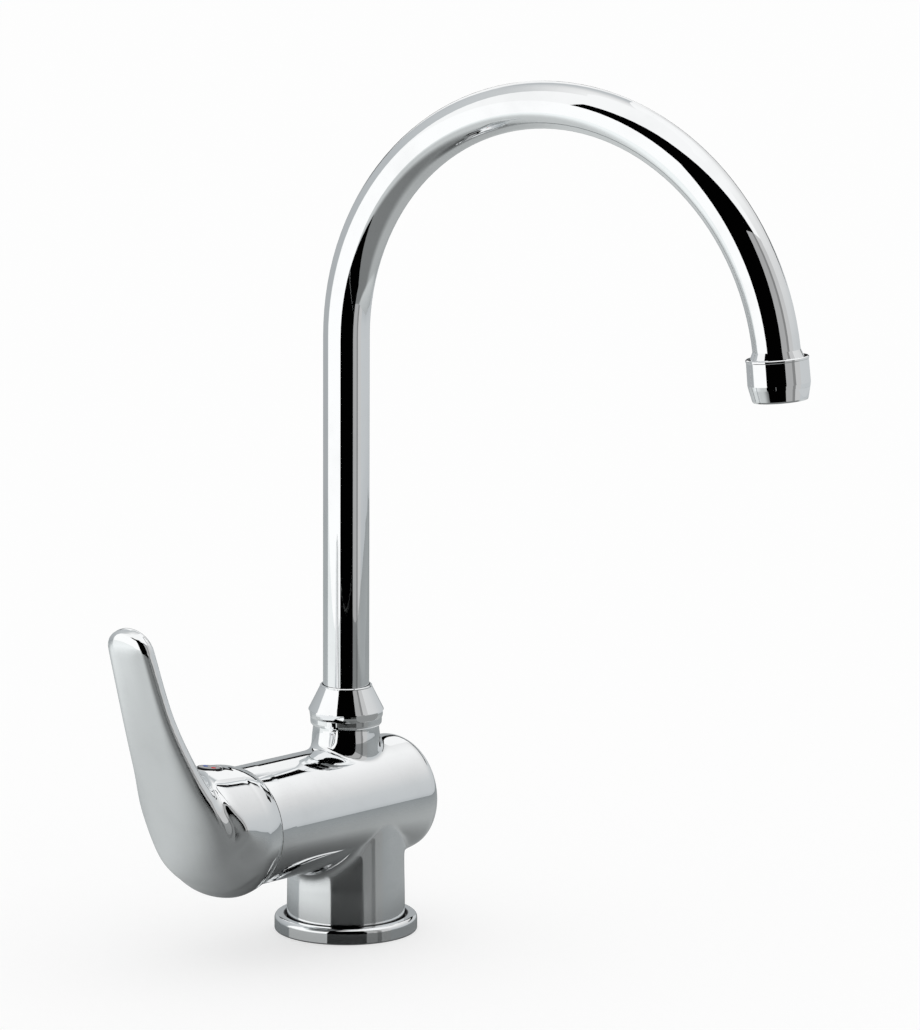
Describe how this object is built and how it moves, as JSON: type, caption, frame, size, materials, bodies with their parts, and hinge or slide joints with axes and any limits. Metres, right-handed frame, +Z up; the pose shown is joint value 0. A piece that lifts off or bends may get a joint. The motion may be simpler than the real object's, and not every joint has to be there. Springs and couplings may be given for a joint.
{
  "type": "kitchen mixer tap",
  "caption": "Kitchen mixer tap with a short round column, a lying barrel, a lever standing up at the barrel's end and a tall arched swivelling spout with an aerator.",
  "frame": {"origin": "centre of the base ring, on the worktop", "axes": "+Z up along the column, the barrel lies along X with the lever at -X, and the spout reaches towards -Y, turned 10 degrees away from the lever"},
  "size_m": [0.1661, 0.2319, 0.3419],
  "materials": {
    "polished_chrome": "polished chrome plating",
    "bare_brass": "turned brass",
    "plain_steel": "plain stainless steel",
    "black_rubber": "matt black rubber",
    "white_plastic": "moulded white plastic",
    "grey_plastic": "smooth light grey plastic",
    "white_ceramic": "lapped white ceramic",
    "blue_mark": "plain blue dot",
    "red_mark": "plain red dot"
  },
  "bodies": {
    "body": {"body_casting": "polished_chrome", "base_ring": "polished_chrome", "base_seal": "black_rubber", "spout_nut": "polished_chrome", "slide_rings": "white_plastic", "cartridge_housing": "white_plastic", "cartridge_base": "white_plastic", "port_seals": "black_rubber", "fixed_disc": "white_ceramic", "cartridge_nut": "bare_brass"},
    "rotor": {"lever_guide": "white_plastic", "pivot_pin": "plain_steel"},
    "slider": {"disc_carrier": "white_plastic", "sliding_disc": "white_ceramic"},
    "lever": {"lever_stem": "bare_brass", "lever_handle": "polished_chrome", "grub_screw": "plain_steel", "indicator_plug": "grey_plastic", "cold_mark": "blue_mark", "hot_mark": "red_mark"},
    "spout": {"spout_tube": "polished_chrome", "spout_bush": "bare_brass", "spout_o_rings": "black_rubber", "outlet_ferrule": "polished_chrome", "aerator_shell": "polished_chrome", "aerator_insert": "white_plastic", "aerator_screen": "plain_steel", "aerator_washer": "black_rubber"}
  },
  "joints": [
    {"name": "spout_swivel", "type": "hinge", "parent": "body", "child": "spout", "pos_m": [0, 0, 0.08], "axis": [0, 0, 1], "continuous": true},
    {"name": "temperature_turn", "type": "hinge", "parent": "body", "child": "rotor", "pos_m": [-0.0693, 0, 0.0505], "axis": [1, 0, 0], "range_deg": [-50, 50]},
    {"name": "lever_lift", "type": "hinge", "parent": "rotor", "child": "lever", "pos_m": [-0.0693, 0, 0.0505], "axis": [0, -1, 0], "range_deg": [0, 20]},
    {"name": "disc_slide", "type": "slide", "parent": "rotor", "child": "slider", "axis": [0, 0, 1], "range_m": [0, 0.0049]}
  ],
  "couplings": [
    {"joint": "disc_slide", "follows": "lever_lift", "m_per_rad": 0.014}
  ]
}
